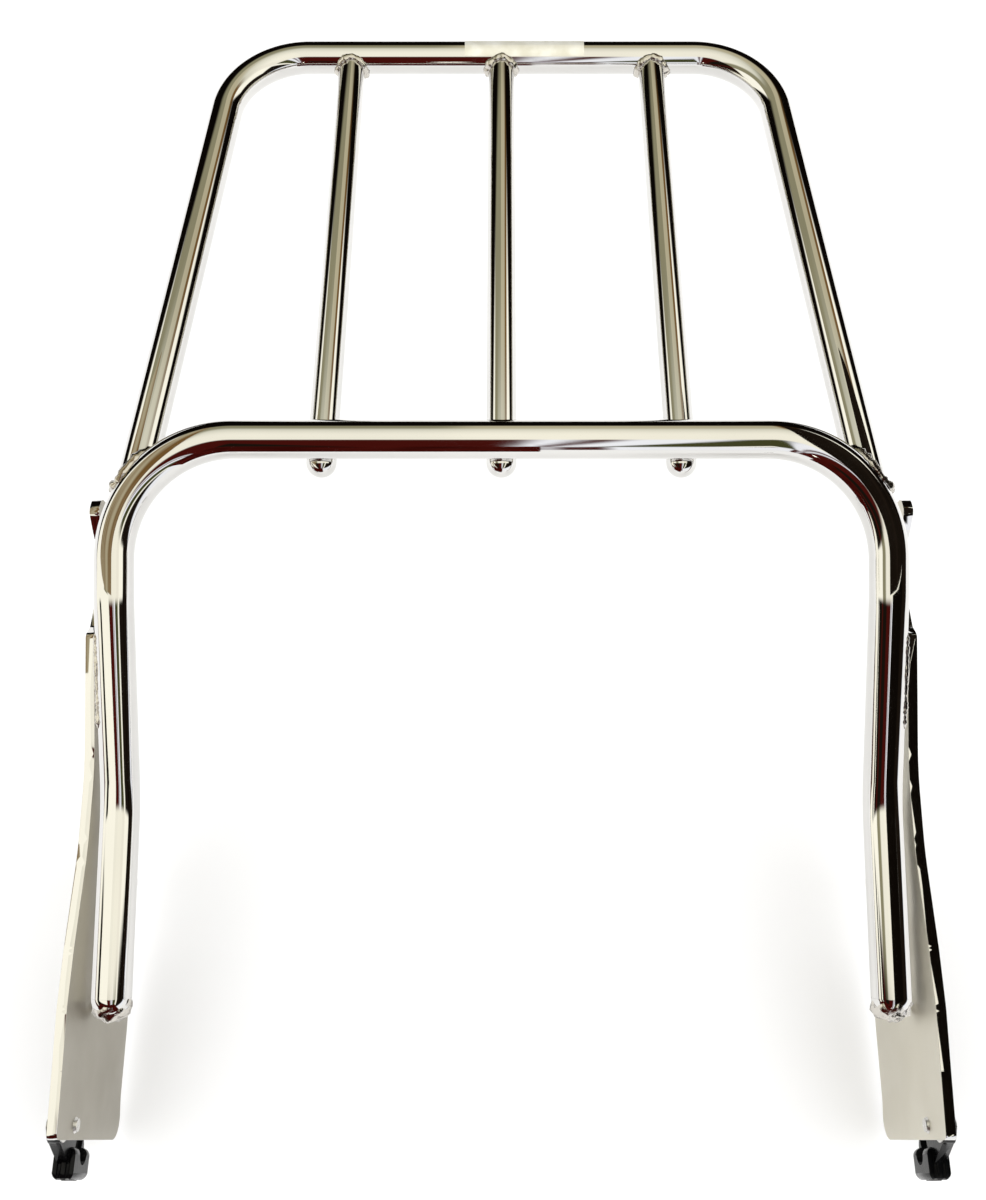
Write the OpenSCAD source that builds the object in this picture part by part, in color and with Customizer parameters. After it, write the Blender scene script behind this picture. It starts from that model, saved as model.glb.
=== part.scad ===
// Welded tube luggage rack that drops onto two pairs of docking posts.
// Origin: midway between the two rear docking notches. +X right, +Y to the rear, +Z up.

/* [Tubes] */
// Outer diameter of the hoop tube
hoop_tube_d = 16; // [15:0.5:17]
// Outer diameter of the tray loop tube
tray_tube_d = 15; // [14:0.5:16]
// Outer diameter of the three slats
slat_d = 12.7; // [12:0.1:13]
// Wall thickness of every tube
tube_wall = 1.5; // [1.2:0.1:2]

/* [Hoop] */
// Half the distance between the centre lines of the two legs
leg_x = 157.8; // [157:0.1:157.8]
// Where the crossbar's centre line runs, to the rear of the origin
crossbar_y = 167; // [160:1:170]
// Height of the crossbar's centre line
crossbar_z = 128.5; // [126:0.5:131]
// Bend radius at the two upper corners
corner_r = 49; // [40:1:55]
// Bend radius of the two gentle bends in each leg
leg_bend_r = 70; // [50:1:90]

/* [Tray] */
// Half width of the tray loop at its front ends
tray_front_x = 150.5; // [149:0.5:151]
// Half width of the tray loop at the rear rail
tray_rear_x = 126.5; // [120:0.5:132]
// Where the rear rail's centre line runs
rear_rail_y = 387; // [370:1:400]
// Height of the tray loop's centre line
tray_z = 119; // [118:0.5:120]
// Bend radius of the tray loop's rear corners
tray_corner_r = 38; // [30:1:45]
// Distance from the centre slat to an outer slat, under the crossbar
slat_front_x = 75; // [65:1:85]
// Distance from the centre slat to an outer slat, at the rear rail
slat_rear_x = 72; // [60:1:82]
// How far the slats' tubes reach past the crossbar's centre line
slat_overhang = 2.5; // [1:0.5:8]

/* [Side plates] */
// Distance from the middle to the inner face of a side plate
plate_x = 166; // [166:0.1:167]
// Thickness of a side plate
plate_t = 4; // [3:0.5:5]
// Radius of the rear docking notch
notch_r = 6.5; // [6:0.1:7]

/* [Latches] */
// Thickness of a latch hook
hook_t = 4.5; // [4:0.1:5]
// Radius of the jaw that holds a front docking post
jaw_r = 4.1; // [3.6:0.1:4.2]
// How far a latch hook swings open, in degrees
latch_travel = 60; // [40:1:65]

/* [Hidden] */
$fn = 48;

chrome = [0.80, 0.80, 0.77];
black = [0.05, 0.05, 0.06];
zinc = [0.62, 0.63, 0.64];
film = [0.86, 0.85, 0.80];

hoop_r = hoop_tube_d / 2;
tray_r = tray_tube_d / 2;
slat_r = slat_d / 2;
weld_gap = 0.03;       // solids of one weld stand this far apart
running_gap = 0.05;    // radial clearance of a turning fit
lap = 1;               // how far a straight length of tube reaches into a bend
lap_step = 0.02;       // how much thinner the wall of a bend is, on each face

// Centre line of the right leg, from its free end up to the crossbar corner
leg_end = [leg_x, -41, 38.9];
leg_low_bend = [leg_x, 35, 59];
leg_high_bend = [leg_x, 107, 102];
hoop_corner = [leg_x, crossbar_y, crossbar_z];
right_leg = [leg_end, leg_low_bend, leg_high_bend, hoop_corner];
hoop_line = concat(right_leg, [for (i = [3:-1:0]) flip(right_leg[i])]);
hoop_bends = [0, leg_bend_r, leg_bend_r, corner_r, corner_r, leg_bend_r, leg_bend_r, 0];

// Centre line of the tray loop; its front ends lie on the hoop's corner bends
tray_front_y = 147;
tray_line = [
    [tray_front_x, tray_front_y, tray_z], [tray_rear_x, rear_rail_y, tray_z],
    [-tray_rear_x, rear_rail_y, tray_z], [-tray_front_x, tray_front_y, tray_z]
];
tray_bends = [0, tray_corner_r, tray_corner_r, 0];

// The slats run just under the crossbar and butt against the rear rail
slat_under_z = crossbar_z - hoop_r - slat_r - weld_gap;
slat_rear_z = tray_z - 1;
cap_seat = 10;         // how far a rounded end reaches into its tube

// Side plate outline as [Y, Z, corner radius]
plate_outline = [
    [-95, 60, 2.5], [-71, 64, 30], [-49, 68, 30], [-27, 69, 60], [12, 68, 80], [44, 73, 80],
    [95, 94.5, 3], [100, 90.5, 3], [120, 88, 20], [131, 91, 8], [138, 104, 8], [143, 111.5, 3.5],
    [150, 109.5, 4], [152, 98, 6], [128, 76, 40], [90, 42, 60], [50, 14, 40], [16, -9, 10],
    [-14, -11, 5], [-45, -18.5, 40], [-76, -21, 20], [-92.4, -26, 8]
];
notch_flare = 2.5;
notch_depth = 30;

// Latch pivot and what is arranged around it, in the plane of the side plate
pivot = [-89, 39];
jaw = [-98.5, 17];
jaw_reach = norm(jaw - pivot);
jaw_angle = atan2(jaw[1] - pivot[1], jaw[0] - pivot[0]);
jaw_wall = 4.5;
jaw_mouth = 55;
edge_step = 0.04;      // keeps a straight cut from running exactly tangent to a round one
shank_back = 5;
hub_r = 6.8;
pin_r = 2.5;
stop_r = 1.5;
stop_reach = 12.6;
stop_angle = -62;
stop_at = pivot + stop_reach * [cos(stop_angle), sin(stop_angle)];
stop_depth = 1;        // depth of plate left behind the stop pin's hole
hub_edge = 0.6;        // how far the stop pin ends inside the hook's outer face
stop_slack = 0.15;
sector_edge = 4.2;     // how far the hook reaches round the slot for the stop pin
sector_lead = 18;
sector_trail = 22;
thumb_size = [12.4, 19];
thumb_at = [-102.6, 18];
thumb_corner = 3.2;
thumb_in = 168.0;      // inner face of the thumb pad, measured from the middle of the rack
thumb_w = 8.5;
thumb_relief = 0.4;    // how far the pad stands back from the jaw's opening, all round
flutes = 2;            // grooves for the thumb, over the top and down the front of the pad
flute_pitch = 3.4;
flute_d = 1.8;

// Stack along a pivot pin, measured outwards from the middle of the rack
plate_out = plate_x + plate_t;
washer_t = 0.5;
hook_in = plate_out + washer_t + 0.1;
hook_out = hook_in + hook_t;
clip_in = hook_out + 0.15;
clip_t = 0.7;
pin_end = clip_in + clip_t + 0.8;
groove_depth = 0.5;
clip_r = 4.3;
clip_mouth = 2.6;
head_t = 1.1;
head_r = 3.1;
head_taper = 0.8;
spring_wire = 0.8;
spring_turns = 2.5;
spring_steps = 16;
spring_coil_r = 4.2;
spring_pocket_r = 5.4;
spring_pocket_t = 2.9;
spring_pitch = 1.03;   // in wire widths
spring_turn = 5;       // angle between the stop pin and the spring's fixed leg
spring_lift = 0.5;     // from the washer's side of the hook to the middle of the first turn
spring_offset = 0.5;   // how far the fixed leg stands off the coil's axis line
leg_way_r = 4;
leg_way_lead = 12;     // how far the way for the fixed leg reaches past both ends of the travel
leg_way_trail = 12;
cut = 1;               // how far a cutting shape starts below the face that it cuts

label_w = 57;
label_x = 11;          // how far the film's middle stands to the right of the rack's
label_t = 0.2;
label_wrap = 76;       // angle of the rail that the film covers
label_tilt = 94;       // angle of the film's middle, from +Y up over the rail

function flip(p) = [-p[0], p[1], p[2]];
function unit(v) = v / norm(v);
function towards(a, b) = unit(b - a);

// Corner p, between its neighbours a and b, rounded to radius r
function rounded(p, a, b, r) =
    let (
        u = towards(p, a), v = towards(p, b), half = acos(u * v) / 2,
        centre = p + unit(u + v) * r / sin(half), start = p + u * r / tan(half) - centre,
        from = atan2(start[1], start[0]), turn = (cross(u, v) > 0 ? 1 : -1) * (180 - 2 * half)
    )
    [for (i = [0:6]) centre + r * [cos(from - turn * i / 6), sin(from - turn * i / 6)]];

function outline(list) =
    let (n = len(list), at = [for (q = list) [q[0], q[1]]])
    [for (i = [0:n - 1]) each rounded(at[i], at[(i + n - 1) % n], at[(i + 1) % n], list[i][2])];

// Straight length between two points, as a rod, or as a tube with inner radius r_in
module run(a, b, r, r_in) {
    z = towards(a, b);
    x = unit(cross(abs(z[2]) < 0.9 ? [0, 0, 1] : [0, 1, 0], z));
    y = cross(z, x);
    multmatrix([[x[0], y[0], z[0], a[0]], [x[1], y[1], z[1], a[1]], [x[2], y[2], z[2], a[2]]])
        linear_extrude(norm(b - a)) section(r, r_in);
}

module section(r, r_in) {
    difference() {
        circle(r);
        if (r_in > 0) circle(r_in);
    }
}

// Bend of radius bend_r at corner p of a line that comes in along u and leaves along v
module bend(p, u, v, bend_r, r, r_in) {
    turn = acos(u * v);
    inward = unit(v - u * (u * v));
    centre = p - u * bend_r * tan(turn / 2) + inward * bend_r;
    z = cross(-inward, u);
    multmatrix([
        [-inward[0], u[0], z[0], centre[0]], [-inward[1], u[1], z[1], centre[1]],
        [-inward[2], u[2], z[2], centre[2]]
    ])
        rotate_extrude(angle = turn) translate([bend_r, 0]) section(r, r_in);
}

// Length of straight line that a bend takes up on each side of its corner
function setback(line, bends, i) =
    bends[i] == 0 ? 0
        : bends[i] * tan(acos(towards(line[i - 1], line[i]) * towards(line[i], line[i + 1])) / 2);

// Tube, or rod where r_in is 0, bent along a line of corners. The straight lengths reach a little
// way into the bends, whose walls are a hair thinner, so that the lengths join into one solid.
module bent(line, bends, r, r_in = 0) {
    last = len(line) - 1;
    for (i = [0:last - 1]) {
        along = towards(line[i], line[i + 1]);
        run(
            line[i] + along * (setback(line, bends, i) - (i > 0 ? lap : 0)),
            line[i + 1] - along * (setback(line, bends, i + 1) - (i < last - 1 ? lap : 0)), r, r_in
        );
    }
    for (i = [1:last - 1])
        bend(
            line[i], towards(line[i - 1], line[i]), towards(line[i], line[i + 1]), bends[i],
            r - lap_step, r_in > 0 ? r_in + lap_step : 0
        );
}

// The upper right corner of the hoop as a solid rod, for shaping what is welded to it
module hoop_corner_rod() {
    bent(
        [leg_high_bend, hoop_corner, [0, crossbar_y, crossbar_z]], [0, corner_r, 0],
        hoop_r + weld_gap
    );
}

module hoop_tube() {
    color(chrome) bent(hoop_line, hoop_bends, hoop_r, hoop_r - tube_wall);
}

module tray_loop_tube() {
    color(chrome) difference() {
        bent(tray_line, tray_bends, tray_r, tray_r - tube_wall);
        hoop_corner_rod();
        mirror([1, 0, 0]) hoop_corner_rod();
    }
}

// Ends of a slat's centre line; side is -1, 0 or 1
function slat_rear(side) = [side * slat_rear_x, rear_rail_y, slat_rear_z];
function slat_under(side) = [side * slat_front_x, crossbar_y, slat_under_z];
function slat_front(side) =
    slat_under(side) + slat_overhang * towards(slat_rear(side), slat_under(side));

module slat(side) {
    color(chrome) difference() {
        run(slat_front(side), slat_rear(side), slat_r, slat_r - tube_wall);
        run(tray_line[1], tray_line[2], tray_r + weld_gap, 0);
    }
}

// Half ball that closes a tube which starts at end and runs along back
module rounded_end(end, back, r) {
    seat = end - back * weld_gap;
    difference() {
        translate(seat) sphere(r);
        run(seat, seat + back * 2 * r, r + cut, 0);
    }
    run(seat - back * lap, seat + back * cap_seat, r - tube_wall - weld_gap, 0);
}

// Closes the free front end of a slat
module slat_plug(side) {
    color(chrome)
        rounded_end(slat_front(side), towards(slat_front(side), slat_rear(side)), slat_r);
}

// Puts a shape drawn in Y and Z at x, with its thickness outwards, on the right or the left
module beside(side, x) {
    mirror([side < 0 ? 1 : 0, 0, 0]) translate([x, 0, 0]) rotate([90, 0, 90]) children();
}

module side_plate(side) {
    color(chrome) beside(side, plate_x) difference() {
        linear_extrude(plate_t) polygon(outline(plate_outline));
        translate([0, 0, -cut]) cylinder(h = plate_t + 2 * cut, r = notch_r);
        translate([0, 0, -cut]) linear_extrude(plate_t + 2 * cut) polygon([
            [-notch_r + edge_step, 0], [notch_r - edge_step, 0],
            [notch_r + notch_flare, -notch_depth], [-notch_r - notch_flare, -notch_depth]
        ]);
        translate([pivot[0], pivot[1], -cut]) cylinder(h = plate_t + 2 * cut, r = pin_r + weld_gap);
        translate([stop_at[0], stop_at[1], stop_depth]) cylinder(h = plate_t, r = stop_r + weld_gap);
    }
}

// Closes the lower end of a leg
module leg_cap(side) {
    color(chrome) mirror([side < 0 ? 1 : 0, 0, 0])
        rounded_end(leg_end, towards(leg_end, leg_low_bend), hoop_r);
}

// Part of a ring about the pivot, from angle a to angle b
module ring_part(r_in, r_out, a, b) {
    intersection() {
        section(r_out, r_in);
        polygon(fan(2 * r_out, a, b, 3));
    }
}

// Sector of a circle in n straight steps
function fan(r, a, b, n) = concat(
    [[0, 0]],
    [for (i = [0:n]) let (t = a + (b - a) * i / n) r * [cos(t), sin(t)]]
);

// Rectangle with round corners, centred
module pad(size, corner) {
    square([size[0] - 2 * corner, size[1]], center = true);
    square([size[0], size[1] - 2 * corner], center = true);
    for (sy = [-1, 1], sz = [-1, 1])
        translate([sy * (size[0] / 2 - corner), sz * (size[1] / 2 - corner)])
            circle(corner + edge_step / 2);
}

// Outline of the jaw's opening, of radius r, and its mouth, drawn about the pivot
module jaw_outline(r) {
    half = r - edge_step;
    translate(jaw - pivot) circle(r);
    ring_part(jaw_reach - half, jaw_reach + half, jaw_angle, jaw_angle + jaw_mouth);
}

// Outline of a latch hook, drawn about its pivot: hub, shank, jaw block and stop sector
module hook_outline() {
    along = unit(jaw - pivot);
    forward = [along[1], -along[0]];
    jaw_out = jaw_r + jaw_wall;
    slot_r = stop_r + stop_slack;
    slot_end = stop_angle + latch_travel;
    difference() {
        union() {
            circle(hub_r);
            translate(jaw - pivot) circle(jaw_out);
            polygon([
                forward * (hub_r - 10 * edge_step), jaw - pivot + forward * (jaw_out - 10 * edge_step),
                jaw - pivot - forward * shank_back, -forward * (hub_r - 10 * edge_step)
            ]);
            ring_part(1, stop_reach + sector_edge, stop_angle - sector_lead, slot_end + sector_trail);
        }
        jaw_outline(jaw_r);
        // kidney slot that the stop pin runs in
        ring_part(stop_reach - slot_r, stop_reach + slot_r, stop_angle, slot_end);
        for (a = [stop_angle, slot_end])
            translate(stop_reach * [cos(a), sin(a)]) circle(slot_r + edge_step);
    }
}

// Wide thumb pad in front of the plate's end, drawn in the hook's frame
module thumb_pad() {
    middle = thumb_w / 2;
    top = thumb_at[1] + thumb_size[1] / 2;
    front = thumb_at[0] - thumb_size[0] / 2;
    translate([0, 0, thumb_in - hook_in]) difference() {
        intersection() {
            translate(thumb_at) linear_extrude(thumb_w) pad(thumb_size, thumb_corner);
            translate([thumb_at[0], top + cut, middle]) rotate([90, 0, 0])
                linear_extrude(thumb_size[1] + 2 * cut) pad([thumb_size[0], thumb_w], thumb_corner);
        }
        translate([pivot[0], pivot[1], -cut]) linear_extrude(thumb_w + 2 * cut)
            jaw_outline(jaw_r + thumb_relief);
        for (i = [0:flutes - 1]) {
            across = middle + (i - (flutes - 1) / 2) * flute_pitch;
            translate([front - cut, top, across]) rotate([0, 90, 0])
                cylinder(h = thumb_size[0], d = flute_d);
            translate([front, top, across]) rotate([90, 0, 0])
                cylinder(h = thumb_size[1], d = flute_d);
        }
    }
}

module latch_hook(side) {
    color(black) beside(side, hook_in) difference() {
        union() {
            translate([pivot[0], pivot[1], 0]) linear_extrude(hook_t) hook_outline();
            thumb_pad();
        }
        translate([pivot[0], pivot[1], -cut]) {
            cylinder(h = hook_t + 2 * cut, r = pin_r + running_gap);
            cylinder(h = spring_pocket_t + cut, r = spring_pocket_r);
            // way for the spring's fixed leg, from the pocket to the kidney slot
            linear_extrude(spring_pocket_t + cut)
                ring_part(
                    leg_way_r, stop_reach, stop_angle - leg_way_lead,
                    stop_angle + latch_travel + leg_way_trail
                );
        }
    }
}

module pivot_pin(side) {
    head_in = plate_x - head_t;
    neck_in = clip_in - running_gap;
    neck_out = clip_in + clip_t + running_gap;
    color(zinc) beside(side, 0) translate([pivot[0], pivot[1], 0]) {
        translate([0, 0, head_in])
            cylinder(h = head_t - weld_gap, r1 = head_r - head_taper, r2 = head_r);
        translate([0, 0, head_in]) cylinder(h = neck_in - head_in, r = pin_r);
        translate([0, 0, neck_in - lap])
            cylinder(h = pin_end - neck_in + lap, r = pin_r - groove_depth);
        translate([0, 0, neck_out]) cylinder(h = pin_end - neck_out, r = pin_r);
    }
}

module pivot_washer(side) {
    color(zinc) beside(side, plate_out + weld_gap) translate([pivot[0], pivot[1], 0])
        linear_extrude(washer_t - weld_gap) section(hub_r - 0.5, pin_r + running_gap);
}

module stop_pin(side) {
    color(zinc) beside(side, plate_x + stop_depth) translate([stop_at[0], stop_at[1], weld_gap])
        cylinder(h = hook_out - plate_x - stop_depth - hub_edge, r = stop_r);
}

module retaining_clip(side) {
    color(zinc) beside(side, clip_in) translate([pivot[0], pivot[1], 0]) linear_extrude(clip_t)
        difference() {
            circle(clip_r);
            circle(pin_r - groove_depth + weld_gap);
            translate([-clip_r, 0]) square([2 * clip_r, clip_mouth], center = true);
        }
}

// Corners of the six-sided wire's path: fixed leg, coil, then the leg that turns with the hook
function spring_path() = concat(
    [[stop_reach - stop_r - spring_wire * 0.75, spring_offset, 0]],
    [for (i = [0:spring_turns * spring_steps])
        let (a = i * 360 / spring_steps, z = i * spring_wire * spring_pitch / spring_steps)
        [spring_coil_r * cos(a), spring_coil_r * sin(a) + (i == 0 ? spring_offset : 0), z]]
);

module latch_spring(side) {
    path = spring_path();
    n = len(path);
    half = (spring_wire - edge_step) / 2;
    directions = [for (i = [0:n - 1]) unit(path[min(i + 1, n - 1)] - path[max(i - 1, 0)])];
    rings = [for (i = [0:n - 1])
        let (d = directions[i], s = unit([d[1], -d[0], 0]))
        each [for (k = [0:5]) path[i] + half * (cos(60 * k) * s + [0, 0, sin(60 * k)])]];
    walls = [for (i = [0:n - 2]) each [for (k = [0:5])
        [6 * i + k, 6 * i + (k + 1) % 6, 6 * i + 6 + (k + 1) % 6, 6 * i + 6 + k]]];
    ends = [[for (k = [5:-1:0]) k], [for (k = [0:5]) 6 * (n - 1) + k]];
    color(zinc) beside(side, hook_in + spring_lift) translate([pivot[0], pivot[1], 0])
        rotate(stop_angle + spring_turn)
        polyhedron(rings, concat(walls, ends));
}

// Plain film with no lettering, wrapped over the top front of the rear rail
module load_label() {
    color(film) translate([label_x - label_w / 2, rear_rail_y, tray_z])
        rotate([90, 0, 90]) linear_extrude(label_w)
            rotate(label_tilt) intersection() {
                section(tray_r + weld_gap + label_t, tray_r + weld_gap);
                polygon(fan(2 * tray_r, -label_wrap / 2, label_wrap / 2, 4));
            }
}

hoop_tube();
tray_loop_tube();
slat(-1);  // slat_left
slat(0);  // slat_center
slat(1);  // slat_right
slat_plug(-1);  // slat_plug_left
slat_plug(0);  // slat_plug_center
slat_plug(1);  // slat_plug_right
side_plate(-1);  // side_plate_left
side_plate(1);  // side_plate_right
leg_cap(-1);  // leg_cap_left
leg_cap(1);  // leg_cap_right
latch_hook(-1);  // latch_hook_left
latch_hook(1);  // latch_hook_right
pivot_pin(-1);  // pivot_pin_left
pivot_pin(1);  // pivot_pin_right
pivot_washer(-1);  // pivot_washer_left
pivot_washer(1);  // pivot_washer_right
latch_spring(-1);  // latch_spring_left
latch_spring(1);  // latch_spring_right
stop_pin(-1);  // stop_pin_left
stop_pin(1);  // stop_pin_right
retaining_clip(-1);  // retaining_clip_left
retaining_clip(1);  // retaining_clip_right
load_label();
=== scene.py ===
"""Looks of the chromed luggage rack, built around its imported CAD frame. Metres throughout."""

import math

import bmesh
import bpy
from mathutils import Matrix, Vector, noise


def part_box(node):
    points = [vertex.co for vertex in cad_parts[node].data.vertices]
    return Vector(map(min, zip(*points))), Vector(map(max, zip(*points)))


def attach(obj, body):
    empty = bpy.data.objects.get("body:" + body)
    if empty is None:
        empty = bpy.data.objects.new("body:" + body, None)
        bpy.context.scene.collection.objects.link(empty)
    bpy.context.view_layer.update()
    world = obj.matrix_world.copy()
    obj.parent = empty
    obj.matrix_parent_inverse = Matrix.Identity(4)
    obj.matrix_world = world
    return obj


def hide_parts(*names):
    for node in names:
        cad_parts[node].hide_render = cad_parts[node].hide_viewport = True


MM = 0.001
CHROME_TONE = (0.72, 0.71, 0.69, 1.0)

# ---------------------------------------------------------------- dimensions taken from the CAD

HOOP_R = 8.0 * MM
TRAY_R = 7.5 * MM
SLAT_R = 6.35 * MM
LEG_X = 157.8 * MM
LEG_END = Vector((LEG_X, -41 * MM, 38.9 * MM))
LEG_LOW_BEND = Vector((LEG_X, 35 * MM, 59 * MM))
LEG_HIGH_BEND = Vector((LEG_X, 107 * MM, 102 * MM))
HOOP_CORNER = Vector((LEG_X, 167 * MM, 128.5 * MM))
LEG_BEND_R = 70 * MM
HOOP_CORNER_R = 49 * MM
TRAY_FRONT = Vector((150.5 * MM, 147 * MM, 119 * MM))
TRAY_REAR = Vector((126.5 * MM, 387 * MM, 119 * MM))
TRAY_CORNER_R = 38 * MM
SLAT_FRONT_X = 75 * MM
SLAT_REAR_X = 72 * MM
SLAT_UNDER_Z = 114.12 * MM
SLAT_REAR_Z = 118 * MM
PLATE_X = 166 * MM
SIDES = (("left", -1), ("right", 1))
SLATS = (("left", -1), ("center", 0), ("right", 1))


def mirrored(point):
    return Vector((-point.x, point.y, point.z))


# ---------------------------------------------------------------- materials


def srgb(red, green, blue):
    """A colour given in 8-bit sRGB, as linear RGBA."""
    channels = []
    for value in (red, green, blue):
        value /= 255
        low = value <= 0.04045
        channels.append(value / 12.92 if low else ((value + 0.055) / 1.055) ** 2.4)
    return (*channels, 1.0)


class Shader:
    """A node material with one Principled shader, and short ways to add nodes to it."""

    def __init__(self, name, colour, metallic, roughness):
        self.material = bpy.data.materials.new(name)
        self.material.use_nodes = True
        self.tree = self.material.node_tree
        self.bsdf = self.tree.nodes["Principled BSDF"]
        self.bsdf.inputs["Base Color"].default_value = colour
        self.bsdf.inputs["Metallic"].default_value = metallic
        self.bsdf.inputs["Roughness"].default_value = roughness
        self.place = self.add("ShaderNodeTexCoord").outputs["Object"]

    def add(self, kind, **settings):
        node = self.tree.nodes.new(kind)
        for key, value in settings.items():
            setattr(node, key, value)
        return node

    def link(self, source, target):
        self.tree.links.new(source, target)

    def noise(self, scale, detail=3.0, stretch=(1, 1, 1)):
        mapping = self.add("ShaderNodeMapping")
        mapping.inputs["Scale"].default_value = stretch
        self.link(self.place, mapping.inputs["Vector"])
        texture = self.add("ShaderNodeTexNoise")
        texture.inputs["Scale"].default_value = scale
        texture.inputs["Detail"].default_value = detail
        self.link(mapping.outputs["Vector"], texture.inputs["Vector"])
        return texture.outputs["Fac"]

    def ramp(self, value, stops):
        ramp = self.add("ShaderNodeValToRGB")
        elements = ramp.color_ramp.elements
        while len(elements) < len(stops):
            elements.new(0.5)
        for element, (position, colour) in zip(elements, stops):
            element.position = position
            element.color = colour
        self.link(value, ramp.inputs["Fac"])
        return ramp.outputs["Color"]

    def grey(self, value, low, high, start=0.35, end=0.65):
        spread = self.add("ShaderNodeMapRange")
        spread.inputs["From Min"].default_value = start
        spread.inputs["From Max"].default_value = end
        spread.inputs["To Min"].default_value = low
        spread.inputs["To Max"].default_value = high
        self.link(value, spread.inputs["Value"])
        return spread.outputs["Result"]

    def bump(self, height, distance, strength=1.0):
        node = self.add("ShaderNodeBump")
        node.inputs["Distance"].default_value = distance
        node.inputs["Strength"].default_value = strength
        self.link(height, node.inputs["Height"])
        self.link(node.outputs["Normal"], self.bsdf.inputs["Normal"])


def chrome_material(name, tone, rough, wave, smear=(0.6, 2.2)):
    """Chrome plate: smears of polish, which scale its roughness between two factors, and a faint
    waviness in its surface."""
    shader = Shader(name, tone, 1.0, rough)
    smears = shader.noise(38, 4)
    gloss = shader.grey(smears, rough * smear[0], rough * smear[1])
    shader.link(gloss, shader.bsdf.inputs["Roughness"])
    dulled = tuple(channel * 0.93 for channel in tone[:3]) + (1.0,)
    colour = shader.ramp(shader.noise(14, 2), [(0.3, dulled), (0.7, tone)])
    shader.link(colour, shader.bsdf.inputs["Base Color"])
    shader.bump(shader.noise(22, 2), wave)
    return shader.material


def weld_material():
    """Chromed weld metal: ripples and pits under the plating."""
    shader = Shader("weld_chrome", (0.60, 0.57, 0.52, 1), 1.0, 0.14)
    shader.link(shader.grey(shader.noise(420, 3), 0.07, 0.24), shader.bsdf.inputs["Roughness"])
    shader.bump(shader.noise(520, 4), 0.35 * MM, 0.8)
    return shader.material


def black_material():
    """Gloss black moulded coating with a faint pebble."""
    shader = Shader("black_coating_look", srgb(20, 20, 22), 0.0, 0.3)
    colour = shader.ramp(shader.noise(160, 3), [(0.3, srgb(4, 4, 5)), (0.7, srgb(9, 9, 10))])
    shader.link(colour, shader.bsdf.inputs["Base Color"])
    shader.link(shader.grey(shader.noise(90, 3), 0.14, 0.26), shader.bsdf.inputs["Roughness"])
    shader.bsdf.inputs["Specular IOR Level"].default_value = 0.12
    shader.bump(shader.noise(1100, 2), 0.05 * MM)
    return shader.material


def steel_material(name, tone):
    """Turned, zinc-plated steel: fine rings and a mottled gloss."""
    shader = Shader(name, tone, 1.0, 0.3)
    shader.link(shader.grey(shader.noise(300, 3), 0.2, 0.42), shader.bsdf.inputs["Roughness"])
    shader.bump(shader.noise(900, 2, stretch=(6, 1, 1)), 0.04 * MM)
    return shader.material


def film_material():
    """Clear-coated silvery film that has begun to yellow."""
    shader = Shader("label_film_look", srgb(226, 223, 208), 0.0, 0.22)
    colour = shader.ramp(
        shader.noise(120, 3), [(0.35, srgb(216, 212, 194)), (0.65, srgb(234, 232, 220))]
    )
    shader.link(colour, shader.bsdf.inputs["Base Color"])
    shader.bsdf.inputs["Metallic"].default_value = 0.35
    shader.bump(shader.noise(400, 2), 0.03 * MM)
    return shader.material


# ---------------------------------------------------------------- meshes


def new_object(name, vertices, faces, material, smooth=True):
    mesh = bpy.data.meshes.new(name)
    mesh.from_pydata([tuple(v) for v in vertices], [], faces)
    mesh.validate()
    mesh.update()
    if smooth:
        mesh.polygons.foreach_set("use_smooth", [True] * len(mesh.polygons))
    mesh.materials.append(material)
    piece = bpy.data.objects.new(name, mesh)
    bpy.context.scene.collection.objects.link(piece)
    return piece


def on_rack(piece, *nodes):
    """Rides on the rack, standing for the named CAD nodes if there are any."""
    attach(piece, "rack")
    if nodes:
        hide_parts(*nodes)
    return piece


def bent_line(corners, radii, step=2.0):
    """Points along a line whose corners are rounded to the given radii, with arcs every few degrees."""
    points = [corners[0].copy()]
    for before, corner, after, radius in zip(corners, corners[1:], corners[2:], radii):
        back = (before - corner).normalized()
        ahead = (after - corner).normalized()
        half = back.angle(ahead) / 2
        centre = corner + (back + ahead).normalized() * radius / math.sin(half)
        start = (corner + back * radius / math.tan(half) - centre).normalized()
        end = (corner + ahead * radius / math.tan(half) - centre).normalized()
        count = max(4, math.ceil(math.degrees(start.angle(end)) / step))
        for i in range(count + 1):
            points.append(centre + start.slerp(end, i / count) * radius)
    points.append(corners[-1].copy())
    return points


def sweep(name, line, radius, material, sides=56, capped=False):
    """Skin around a line of points. Its ends are open where a tube ends in another piece."""
    vertices = []
    side = None
    last = len(line) - 1
    for i, point in enumerate(line):
        along = (line[min(i + 1, last)] - line[max(i - 1, 0)]).normalized()
        if side is None:
            side = along.cross(Vector((0, 0, 1))).normalized()
        side = (side - along * side.dot(along)).normalized()
        up = side.cross(along)
        for k in range(sides):
            angle = 2 * math.pi * k / sides
            spoke = side * math.cos(angle) + up * math.sin(angle)
            vertices.append(point + spoke * radius)
    faces = []
    if capped:
        faces.append(tuple(reversed(range(sides))))
        faces.append(tuple(range(last * sides, (last + 1) * sides)))
    for i in range(last):
        for k in range(sides):
            a = i * sides + k
            b = i * sides + (k + 1) % sides
            faces.append((a, b, b + sides, a + sides))
    return new_object(name, vertices, faces, material)


def evenly(line, spacing):
    """The same line with points added so that none are further apart than spacing."""
    points = []
    for a, b in zip(line, line[1:]):
        count = max(1, math.ceil((b - a).length / spacing))
        points += [a.lerp(b, i / count) for i in range(count)]
    return points + [line[-1]]


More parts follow.
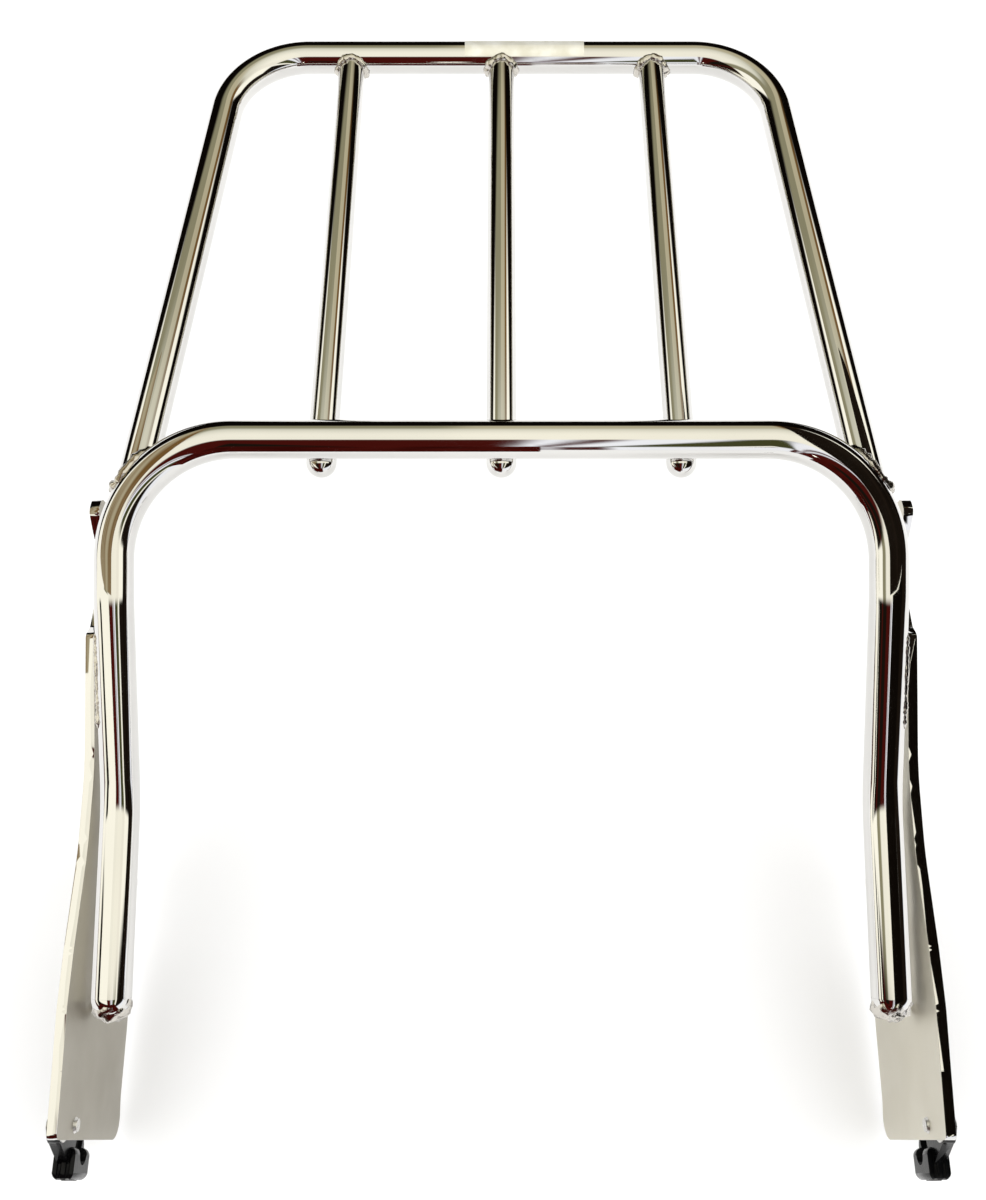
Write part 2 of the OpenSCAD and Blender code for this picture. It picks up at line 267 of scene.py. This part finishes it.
def distance_to(line, point):
    """Shortest distance from a point to a line of points."""
    best = math.inf
    for a, b in zip(line, line[1:]):
        step = b - a
        t = max(0.0, min(1.0, (point - a).dot(step) / step.length_squared))
        best = min(best, (point - a - step * t).length)
    return best


def seam(origin, along, radius, line, line_r, reach, count=56):
    """Closed curve where a tube of one radius, running from origin, meets a tube around a line."""
    along = along.normalized()
    side = along.cross(Vector((0, 0, 1))).normalized()
    up = side.cross(along)
    points = []
    for k in range(count):
        angle = 2 * math.pi * k / count
        spoke = side * math.cos(angle) + up * math.sin(angle)
        near, far = 0.0, reach
        for _ in range(22):
            middle = (near + far) / 2
            if distance_to(line, origin + along * middle + spoke * radius) > line_r:
                near = middle
            else:
                far = middle
        points.append(origin + along * near + spoke * radius)
    return points


def weld_bead(name, points, radius, material, closed=True, ripple=0.16, seed=0.0, sides=14):
    """Lumpy bead of weld metal along a curve, with the scale-like ripples that a torch leaves."""
    vertices = []
    count = len(points)
    pitch = 1.7 * radius
    travelled = 0.0
    for i, point in enumerate(points):
        if closed:
            before, after = points[i - 1], points[(i + 1) % count]
        else:
            before, after = points[max(i - 1, 0)], points[min(i + 1, count - 1)]
        along = (after - before).normalized()
        travelled += (point - points[i - 1]).length if i else 0.0
        side = along.cross(Vector((0.11, 0.2, 0.97))).normalized()
        up = side.cross(along)
        scale = 1 + ripple * math.cos(2 * math.pi * travelled / pitch)
        scale += 0.5 * noise.noise(point * 260 + Vector((seed, 0, 0)))
        if not closed:
            end = min(i, count - 1 - i) / 3
            scale *= min(1.0, 0.25 + end)
        for k in range(sides):
            angle = 2 * math.pi * k / sides
            spoke = side * math.cos(angle) + up * math.sin(angle)
            lump = 1 + 0.25 * noise.noise((point + spoke * radius) * 700)
            vertices.append(point + spoke * radius * scale * lump)
    faces = []
    for i in range(count if closed else count - 1):
        j = (i + 1) % count
        for k in range(sides):
            m = (k + 1) % sides
            faces.append((i * sides + k, i * sides + m, j * sides + m, j * sides + k))
    if not closed:
        faces.append(tuple(range(sides)))
        faces.append(tuple(reversed(range((count - 1) * sides, count * sides))))
    return new_object(name, vertices, faces, material)


def softened(name, node, width, material, flat_material=None, segments=3):
    """Copy of a CAD node whose sharp edges are rounded over. Its flat sides, which face left and
    right, may have a material of their own."""
    mesh = node.data.copy()
    piece = bpy.data.objects.new(name, mesh)
    bpy.context.scene.collection.objects.link(piece)
    work = bmesh.new()
    work.from_mesh(mesh)
    bmesh.ops.remove_doubles(work, verts=work.verts, dist=0.002 * MM)
    bmesh.ops.dissolve_limit(
        work, angle_limit=math.radians(0.05), verts=work.verts, edges=work.edges
    )
    work.to_mesh(mesh)
    work.free()
    bevel = piece.modifiers.new("soft edges", "BEVEL")
    bevel.width = width
    bevel.segments = segments
    bevel.limit_method = "ANGLE"
    bevel.angle_limit = math.radians(50)
    bevel.harden_normals = True
    bevel.use_clamp_overlap = True
    bevel.loop_slide = False
    bpy.context.view_layer.objects.active = piece
    piece.select_set(True)
    bpy.ops.object.modifier_apply(modifier=bevel.name)
    piece.select_set(False)
    mesh.polygons.foreach_set("use_smooth", [True] * len(mesh.polygons))
    mesh.materials.clear()
    mesh.materials.append(material)
    mesh.materials.append(flat_material or material)
    normals = [corner.vector.copy() for corner in mesh.corner_normals]
    for face in mesh.polygons:
        face.material_index = int(abs(face.normal.x) > 0.9)
        if abs(face.normal.x) > 0.999:
            for corner in face.loop_indices:
                normals[corner] = face.normal.copy()
    mesh.normals_split_custom_set(normals)
    return piece


# ---------------------------------------------------------------- the rack's tubes and welds


def hoop_centre_line():
    right = [LEG_END, LEG_LOW_BEND, LEG_HIGH_BEND, HOOP_CORNER]
    corners = right + [mirrored(p) for p in reversed(right)]
    bends = [LEG_BEND_R, LEG_BEND_R, HOOP_CORNER_R]
    return bent_line(corners, bends + bends[::-1])


def tray_centre_line():
    corners = [TRAY_FRONT, TRAY_REAR, mirrored(TRAY_REAR), mirrored(TRAY_FRONT)]
    return bent_line(corners, [TRAY_CORNER_R, TRAY_CORNER_R])


def build_tubes(chrome, hoop, tray):
    skin = sweep("hoop_tube_skin", evenly(hoop, 12 * MM), HOOP_R, chrome, 72)
    on_rack(skin, "hoop_tube")
    skin = sweep("tray_loop_skin", evenly(tray, 12 * MM), TRAY_R, chrome, 72)
    on_rack(skin, "tray_loop_tube")


# Beads between a leg and its plate: (name, from, to, height above the leg's centre line)
PLATE_WELDS = (
    ("upper_rear", 94 * MM, 60 * MM, 4.0 * MM),
    ("lower_rear", 88 * MM, 40 * MM, -5.0 * MM),
    ("lower_front", 14 * MM, -30 * MM, -4.6 * MM),
)
WELD_STEPS = 40
WELD_OUT = 6.9 * MM                # from a leg's centre line out to the beads on its plate
PLATE_WELD_R = 1.2 * MM
PLATE_STEP = Vector((PLATE_X, 97 * MM, 91.6 * MM))
STEP_WELD_AT = (-2 * MM, 0, 2 * MM, 4.2 * MM)
STEP_WELD_R = 1.3 * MM
LEG_CAP_SIZE = (7.9 * MM, 6.4 * MM, 7.2 * MM)
LEG_CAP_PAST = 3.0 * MM            # how far the cap's middle stands past the end of the leg
LEG_CAP_RINGS, LEG_CAP_SIDES = 14, 26
COARSE_CRAG, FINE_CRAG = (0.22, 2.6), (0.10, 7.5)   # (depth, noise scale)


def leg_height(y):
    """Height of a leg's centre line."""
    for a, b in ((LEG_END, LEG_LOW_BEND), (LEG_LOW_BEND, LEG_HIGH_BEND)):
        if y <= b.y:
            break
    return a.z + (b.z - a.z) * (y - a.y) / (b.y - a.y)


def build_leg_end(name, side, weld):
    """Ragged weld that closes the free end of a leg."""
    down = (LEG_END - LEG_LOW_BEND).normalized()
    centre = Vector((side * LEG_X, LEG_END.y, LEG_END.z)) + down * LEG_CAP_PAST
    rings, sides = LEG_CAP_RINGS, LEG_CAP_SIDES
    width, depth, height = LEG_CAP_SIZE
    vertices = []
    for i in range(rings + 1):
        polar = math.pi * i / rings
        for k in range(sides):
            angle = 2 * math.pi * k / sides
            ray = Vector((
                math.sin(polar) * math.cos(angle), math.cos(polar), math.sin(polar) * math.sin(angle)
            ))
            seed = Vector((side * 5, 0, 0))
            crag = 1 + COARSE_CRAG[0] * noise.noise(ray * COARSE_CRAG[1] + seed)
            crag += FINE_CRAG[0] * noise.noise(ray * FINE_CRAG[1])
            vertices.append(centre + Vector((ray.x * width, ray.y * depth, ray.z * height)) * crag)
    faces = []
    for i in range(rings):
        for k in range(sides):
            m = (k + 1) % sides
            faces.append((i * sides + k, (i + 1) * sides + k, (i + 1) * sides + m, i * sides + m))
    on_rack(new_object(f"weld_leg_end_{name}", vertices, faces, weld))


def build_welds(weld, hoop, tray):
    for name, side in SLATS:
        rear = Vector((side * SLAT_REAR_X, TRAY_REAR.y, SLAT_REAR_Z))
        under = Vector((side * SLAT_FRONT_X, HOOP_CORNER.y, SLAT_UNDER_Z))
        start = rear.lerp(under, 0.3)
        ring = seam(start, rear - start, SLAT_R, tray, TRAY_R, (rear - start).length)
        on_rack(weld_bead(f"weld_slat_rear_{name}", ring, 1.9 * MM, weld, ripple=0.07, seed=side * 3.1))
        middle = under + Vector((0, 5.2 * MM, SLAT_R * 0.55))
        arc = [
            middle + Vector((math.sin(t) * SLAT_R * 1.02, 0, (math.cos(t) - 1) * SLAT_R * 0.9))
            for t in (math.radians(a) for a in range(-70, 71, 5))
        ]
        bead = weld_bead(f"weld_slat_front_{name}", arc, 1.3 * MM, weld, closed=False, seed=side)
        on_rack(bead)
    for name, side in SIDES:
        front = Vector((side * TRAY_FRONT.x, TRAY_FRONT.y, TRAY_FRONT.z))
        rear = Vector((side * TRAY_REAR.x, TRAY_REAR.y, TRAY_REAR.z))
        start = front.lerp(rear, 0.25)
        ring = seam(start, front - start, TRAY_R, hoop, HOOP_R, (front - start).length)
        on_rack(weld_bead(f"weld_rail_{name}", ring, 2.1 * MM, weld, seed=side * 1.7))
        for stretch, start_y, end_y, height in PLATE_WELDS:
            path = []
            for i in range(WELD_STEPS + 1):
                y = start_y + (end_y - start_y) * i / WELD_STEPS
                path.append(Vector((side * (LEG_X + WELD_OUT), y, leg_height(y) + height)))
            bead_name = f"weld_plate_{stretch}_{name}"
            on_rack(weld_bead(bead_name, path, PLATE_WELD_R, weld, closed=False, seed=y))
        build_leg_end(name, side, weld)
        step = [
            Vector((side * (PLATE_STEP.x + x), PLATE_STEP.y, PLATE_STEP.z)) for x in STEP_WELD_AT
        ]
        on_rack(weld_bead(f"weld_step_{name}", step, STEP_WELD_R, weld, closed=False, seed=side))


# ---------------------------------------------------------------- the latches' springs
# They stand in for the CAD springs, whose legs enter the hooks slightly near full travel.

PIVOT = Vector((171.1 * MM, -89 * MM, 39 * MM))
SPRING_R = 4.2 * MM
SPRING_TURNS = 2.5
SPRING_STEPS = 32
SPRING_RISE = 0.79 * MM
SPRING_LEG = 10.5 * MM
SPRING_LEG_OFFSET = 0.5 * MM
SPRING_ANGLE = math.radians(-61)
WIRE_R = 0.38 * MM


def build_spring(name, side, material):
    """Torsion spring of round wire in a hook's hub: a leg that ends by the stop pin, then the coil."""
    coil = []
    for i in range(round(SPRING_TURNS * SPRING_STEPS) + 1):
        angle = 2 * math.pi * i / SPRING_STEPS
        offset = 0 if i else SPRING_LEG_OFFSET
        rise = SPRING_RISE * i / SPRING_STEPS
        coil.append((SPRING_R * math.cos(angle), SPRING_R * math.sin(angle) + offset, rise))
    path = []
    for ahead, across, rise in [(SPRING_LEG, SPRING_LEG_OFFSET, 0)] + coil:
        y = ahead * math.cos(SPRING_ANGLE) - across * math.sin(SPRING_ANGLE)
        z = ahead * math.sin(SPRING_ANGLE) + across * math.cos(SPRING_ANGLE)
        path.append(Vector((side * (PIVOT.x + rise), PIVOT.y + y, PIVOT.z + z)))
    wire = sweep(f"latch_spring_wire_{name}", path, WIRE_R, material, 20, capped=True)
    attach(wire, "rack")
    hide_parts(f"latch_spring_{name}")


# ---------------------------------------------------------------- studio
# The surroundings that the chrome reflects are invented and tuned.


def seen(red, green, blue):
    """Light that a chrome surface shows as this 8-bit sRGB colour."""
    return Vector([channel / CHROME_TONE[1] for channel in srgb(red, green, blue)[:3]])


CREAM = seen(252, 249, 234)
PALE = seen(238, 240, 246)
WARM_GREY = seen(188, 189, 172)
TAN = seen(136, 132, 106)
LIGHT_TAN = seen(178, 170, 142)
BROWN = seen(110, 82, 46)
DARK = seen(24, 18, 13)
DEEP_RED = seen(66, 16, 12)
OLIVE = seen(64, 66, 38)

# Stripes of light by angle round the Y axis, from the zenith towards +X: (angle where it starts, light)
CEILING = (
    (-180, TAN), (-105, CREAM), (-44, TAN), (-3, LIGHT_TAN), (22, BROWN), (36, CREAM), (60, DARK),
    (96, TAN)
)
FRONT_HIGH = (
    (-180, TAN), (-105, CREAM), (-72, DARK), (-50, DEEP_RED), (-44, DARK), (-22, DEEP_RED),
    (2, PALE), (5, DEEP_RED), (8, PALE), (15, OLIVE), (32, CREAM), (40, DARK), (110, PALE)
)
# The same near the front horizon, by angle round the vertical
FRONT_LOW = ((-180, DEEP_RED), (2, PALE), (3, DEEP_RED), (6.6, PALE))
LAMP_AROUND, LAMP_HEIGHT, LAMP_SIZE = -3.4, 20.5, 1.3
# Where one part of the dome fades into the next, by angle up from the front horizon
FRONT_TO_CEILING = (58, 64)
CEILING_TO_REAR = (135, 141)
HIGH_TO_LOW_FRONT = (24, 16)


def smooth(edge0, edge1, value):
    t = max(0.0, min(1.0, (value - edge0) / (edge1 - edge0)))
    return t * t * (3 - 2 * t)


def stripe(table, angle, softness=1.5):
    colour = table[0][1].copy()
    for start, after in table[1:]:
        colour = colour.lerp(after, smooth(start - softness, start + softness, angle))
    return colour


def dome_colour(direction):
    """Light from one direction of the room: striped ceiling, dim front, dark low rear."""
    x, y, z = direction
    pitch = math.degrees(math.atan2(z, -y)) % 360
    roll = math.degrees(math.atan2(x, max(z, 1e-4)))
    around = math.degrees(math.atan2(x, abs(y) + 1e-4))
    ceiling = stripe(CEILING, roll)
    middle = smooth(-30, -22, roll) * (1 - smooth(38, 46, roll))
    lamp = WARM_GREY.lerp(CREAM, smooth(140, 84, pitch))
    ceiling = ceiling.lerp(lamp, middle * smooth(128, 112, pitch) * 0.85)
    front = stripe(FRONT_HIGH, roll).lerp(stripe(FRONT_LOW, around, 0.4), smooth(*HIGH_TO_LOW_FRONT, pitch))
    colour = front.lerp(ceiling, smooth(*FRONT_TO_CEILING, pitch))
    colour = colour.lerp(DARK * 0.3, smooth(*CEILING_TO_REAR, pitch))
    height = math.degrees(math.asin(z))
    if y < 0 and math.hypot(around - LAMP_AROUND, height - LAMP_HEIGHT) < LAMP_SIZE:
        colour = CREAM * 4
    return colour


def emitter(name):
    """A material that only shines, with its node tree and its emission node."""
    material = bpy.data.materials.new(name)
    material.use_nodes = True
    tree = material.node_tree
    tree.nodes.clear()
    emission = tree.nodes.new("ShaderNodeEmission")
    output = tree.nodes.new("ShaderNodeOutputMaterial")
    tree.links.new(emission.outputs["Emission"], output.inputs["Surface"])
    return material, tree, emission


def reflected_only(piece):
    """Part of the stage that shows in mirror-like surfaces, and neither lights nor shades the rest."""
    piece.visible_camera = False
    piece.visible_diffuse = False
    piece.visible_shadow = False
    piece.visible_transmission = False
    piece.visible_volume_scatter = False


def reflection_dome(radius, centre):
    """Half sphere that only mirror-like surfaces see. Its colours are set at its vertices."""
    rows, columns = 90, 360
    vertices = []
    colours = []
    for i in range(rows + 1):
        for k in range(columns):
            height = math.pi / 2 * i / rows
            turn = 2 * math.pi * k / columns
            direction = Vector(
                (math.cos(height) * math.cos(turn), math.cos(height) * math.sin(turn), math.sin(height))
            )
            vertices.append(centre + direction * radius)
            colours.append((*dome_colour(direction), 1.0))
    faces = []
    for i in range(rows):
        for k in range(columns):
            m = (k + 1) % columns
            a, b = i * columns + k, i * columns + m
            faces.append((a, b, b + columns, a + columns))
    material, tree, emission = emitter("dome_light")
    attribute = tree.nodes.new("ShaderNodeVertexColor")
    attribute.layer_name = "light"
    tree.links.new(attribute.outputs["Color"], emission.inputs["Color"])
    dome = new_object("reflection_dome", vertices, faces, material)
    layer = dome.data.color_attributes.new("light", "FLOAT_COLOR", "POINT")
    for i, colour in enumerate(colours):
        layer.data[i].color = colour
    reflected_only(dome)


def reflection_cards():
    """Cards close above the side plates, bright on the left and dark on the right, and a low dark
    card across the front."""
    far, height, rise = 0.60, 0.20, 0.10
    for name, side, near, front, rear, light in (
        ("bright_card", -1, 0.185, -0.22, 0.06, (CREAM, CREAM)),
        ("tawny_card", -1, 0.155, 0.06, 0.26, (BROWN, LIGHT_TAN)),
        ("dark_card", 1, 0.168, -0.22, 0.06, (DARK * 0.4, DARK * 0.4)),
        ("dark_rear_card", 1, 0.14, 0.06, 0.26, (DARK * 0.4, DARK * 1.3)),
    ):
        card(name, light, [
            (side * near, front, height), (side * far, front, height + rise),
            (side * far, rear, height + rise), (side * near, rear, height)
        ])
    low, high, left, right, away = -0.03, 0.26, -0.50, 0.03, -0.30
    card("front_card", (DEEP_RED * 0.5, DEEP_RED * 1.1), [
        (left, away, low), (right, away, low), (right, away, high), (left, away, high)
    ])


def card(name, lights, corners):
    """A card whose light drifts between two colours in long streaks."""
    material, tree, emission = emitter(f"{name}_light")
    place = tree.nodes.new("ShaderNodeTexCoord")
    mapping = tree.nodes.new("ShaderNodeMapping")
    mapping.inputs["Scale"].default_value = (1, 0.25, 1)
    texture = tree.nodes.new("ShaderNodeTexNoise")
    texture.inputs["Scale"].default_value = 16
    ramp = tree.nodes.new("ShaderNodeValToRGB")
    for element, position, light in zip(ramp.color_ramp.elements, (0.38, 0.62), lights):
        element.position = position
        element.color = (*light, 1.0)
    tree.links.new(place.outputs["Object"], mapping.inputs["Vector"])
    tree.links.new(mapping.outputs["Vector"], texture.inputs["Vector"])
    tree.links.new(texture.outputs["Fac"], ramp.inputs["Fac"])
    tree.links.new(ramp.outputs["Color"], emission.inputs["Color"])
    reflected_only(new_object(name, corners, [(0, 1, 2, 3)], material, smooth=False))


def build_floor(level):
    shader = Shader("pale_floor", (0.93, 0.925, 0.91, 1), 0.0, 0.9)
    colour = shader.ramp(
        shader.noise(3, 2), [(0.3, (0.925, 0.92, 0.905, 1)), (0.7, (0.94, 0.935, 0.92, 1))]
    )
    shader.link(colour, shader.bsdf.inputs["Base Color"])
    shader.bsdf.inputs["Specular IOR Level"].default_value = 0.0
    half = 12
    corners = [(-half, -half, level), (half, -half, level), (half, half, level), (-half, half, level)]
    new_object("floor", corners, [(0, 1, 2, 3)], shader.material, smooth=False)


def build_light():
    world = bpy.data.worlds.new("room")
    world.use_nodes = True
    background = world.node_tree.nodes["Background"]
    background.inputs["Color"].default_value = (0.98, 0.985, 1.0, 1)
    background.inputs["Strength"].default_value = 0.97
    bpy.context.scene.world = world
    for name, place, size, power in (
        ("soft_box_right", (1.1, 0.4, 1.6), 3.0, 20),
        ("soft_box_left", (-1.2, 0.2, 1.7), 3.0, 16),
    ):
        light = bpy.data.lights.new(name, "AREA")
        light.size = size
        light.energy = power
        lamp = bpy.data.objects.new(name, light)
        lamp.location = place
        aim = Vector((0, 0.14, 0.05)) - Vector(place)
        lamp.rotation_euler = aim.to_track_quat("-Z", "Y").to_euler()
        lamp.visible_glossy = False
        bpy.context.scene.collection.objects.link(lamp)


def build_camera():
    data = bpy.data.cameras.new("camera")
    data.sensor_width = 36
    data.lens = 39
    data.shift_x = -0.007
    data.clip_start = 0.01
    camera = bpy.data.objects.new("camera", data)
    camera.location = (0, -0.110, 0.585)
    camera.rotation_euler = (math.radians(24.2), 0, 0)
    bpy.context.scene.collection.objects.link(camera)
    bpy.context.scene.camera = camera


# ---------------------------------------------------------------- the scene

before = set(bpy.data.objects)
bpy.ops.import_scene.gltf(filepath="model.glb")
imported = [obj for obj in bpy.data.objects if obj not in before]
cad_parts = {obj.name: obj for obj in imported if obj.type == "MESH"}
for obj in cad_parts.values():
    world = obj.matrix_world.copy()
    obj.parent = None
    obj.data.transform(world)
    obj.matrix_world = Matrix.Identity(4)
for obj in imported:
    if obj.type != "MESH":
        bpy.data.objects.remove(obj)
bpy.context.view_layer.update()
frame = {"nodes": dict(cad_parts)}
nodes = frame["nodes"]

chrome = chrome_material("chrome_look", CHROME_TONE, 0.03, 0.02 * MM)
# One chrome in reality. The two tones copy how differently the plates are lit.
plate_chrome = {
    "left": chrome_material("plate_left_look", (0.40, 0.375, 0.32, 1), 0.42, 0, (0.9, 1.15)),
    "right": chrome_material("plate_right_look", (0.66, 0.63, 0.54, 1), 0.42, 0, (0.9, 1.15)),
}
weld = weld_material()
black = black_material()
zinc = steel_material("zinc_look", (0.62, 0.61, 0.58, 1))
spring = steel_material("spring_look", (0.45, 0.45, 0.46, 1))
film = film_material()
looks = {
    "latch_hook": black, "pivot_pin": zinc, "pivot_washer": zinc, "latch_spring": spring,
    "stop_pin": zinc, "retaining_clip": zinc, "load_label": film,
}
for name, node in nodes.items():
    look = next((m for start, m in looks.items() if name.startswith(start)), chrome)
    node.data.materials.clear()
    node.data.materials.append(look)

hoop_line = hoop_centre_line()
tray_line = tray_centre_line()
build_tubes(chrome, hoop_line, tray_line)
build_welds(weld, hoop_line, tray_line)
for name, side in SIDES:
    node = nodes[f"side_plate_{name}"]
    plate = softened(f"side_plate_skin_{name}", node, 0.4 * MM, chrome, plate_chrome[name])
    plate.visible_glossy = False   # a real plate would show in the leg beside it
    on_rack(plate, f"side_plate_{name}")
    hook = softened(f"latch_hook_skin_{name}", nodes[f"latch_hook_{name}"], 0.45 * MM, black)
    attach(hook, f"latch_{name}")
    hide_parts(f"latch_hook_{name}")
    build_spring(name, side, spring)

build_floor(min(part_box(n)[0].z for n in nodes) - 4 * MM)
reflection_dome(1.5, Vector((0, 0.14, -0.05)))
reflection_cards()
build_light()
build_camera()
bpy.context.scene.view_settings.view_transform = "Standard"
